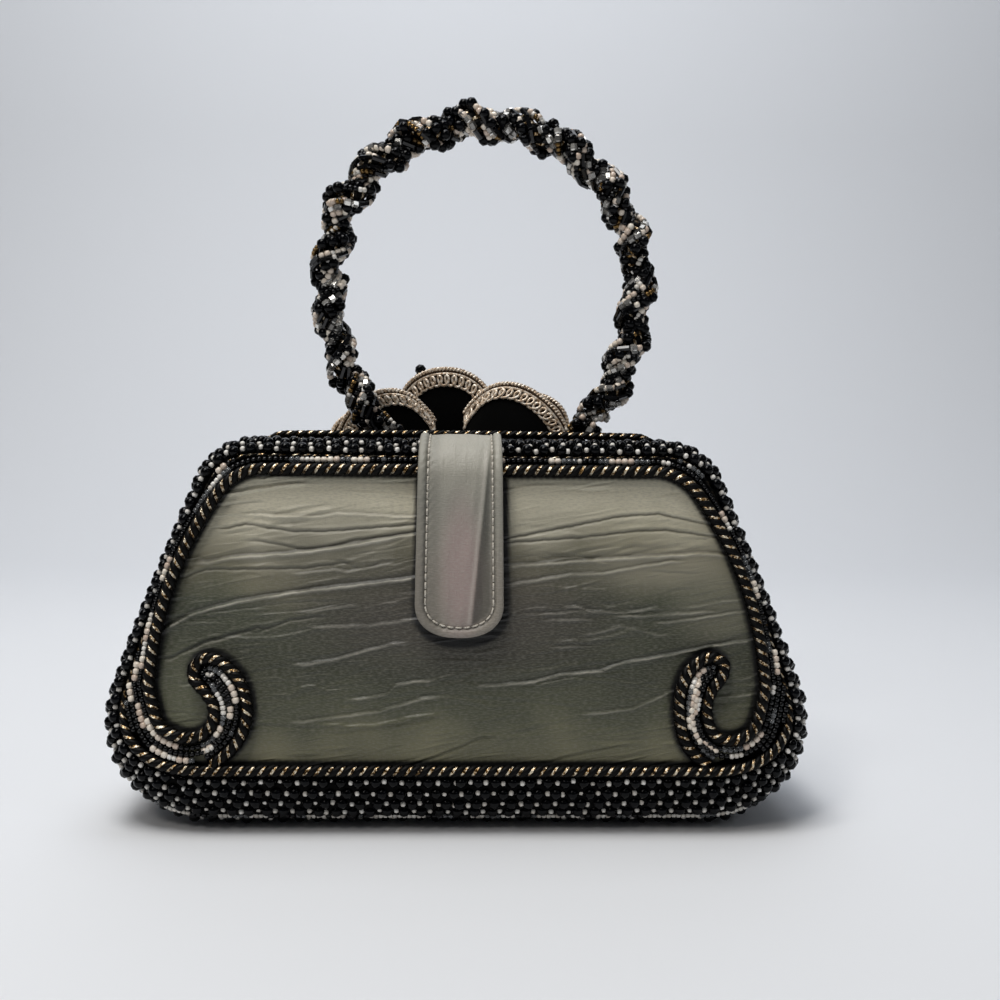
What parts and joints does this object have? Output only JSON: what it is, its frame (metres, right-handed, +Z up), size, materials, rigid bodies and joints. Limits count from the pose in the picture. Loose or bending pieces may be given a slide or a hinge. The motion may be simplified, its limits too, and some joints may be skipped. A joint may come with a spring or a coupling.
{
  "type": "beaded evening handbag",
  "caption": "Rigid trapezoid evening handbag with crinkled silk faces, beaded bands, twisted cords, a closure tab, a bead-wound ring handle and a fabric flower on the far side.",
  "frame": {"origin": "on the flat base, under the middle of the body", "axes": "+X to the right of the tab side, +Y from the tab side to the flower side, +Z up"},
  "size_m": [0.2272, 0.0864, 0.238],
  "materials": {
    "panel_silk": "satin",
    "tab_silk": "satin",
    "glass_beadwork": "gloss",
    "twisted_cord": "satin",
    "petal_cloth": "matte",
    "gimp_trim": "satin",
    "snap_steel": "satin"
  },
  "bodies": {
    "root": {"front_panel": "panel_silk", "back_panel": "panel_silk", "closure_tab": "tab_silk", "front_band": "glass_beadwork", "back_band": "glass_beadwork", "handle_ring": "glass_beadwork", "handle_foot_left": "glass_beadwork", "handle_foot_right": "glass_beadwork", "flower_stamen": "glass_beadwork", "front_ring_cord": "twisted_cord", "back_ring_cord": "twisted_cord", "front_scroll_cord": "twisted_cord", "back_border_cord": "twisted_cord", "mouth_cord": "twisted_cord", "tab_snap": "snap_steel", "flower_centre": "petal_cloth", "petal_1": "petal_cloth", "petal_trim_1": "gimp_trim", "petal_2": "petal_cloth", "petal_trim_2": "gimp_trim", "petal_3": "petal_cloth", "petal_trim_3": "gimp_trim", "petal_4": "petal_cloth", "petal_trim_4": "gimp_trim", "petal_5": "petal_cloth", "petal_trim_5": "gimp_trim", "petal_6": "petal_cloth", "petal_trim_6": "gimp_trim", "petal_7": "petal_cloth", "petal_trim_7": "gimp_trim", "petal_8": "petal_cloth", "petal_trim_8": "gimp_trim"}
  },
  "joints": []
}
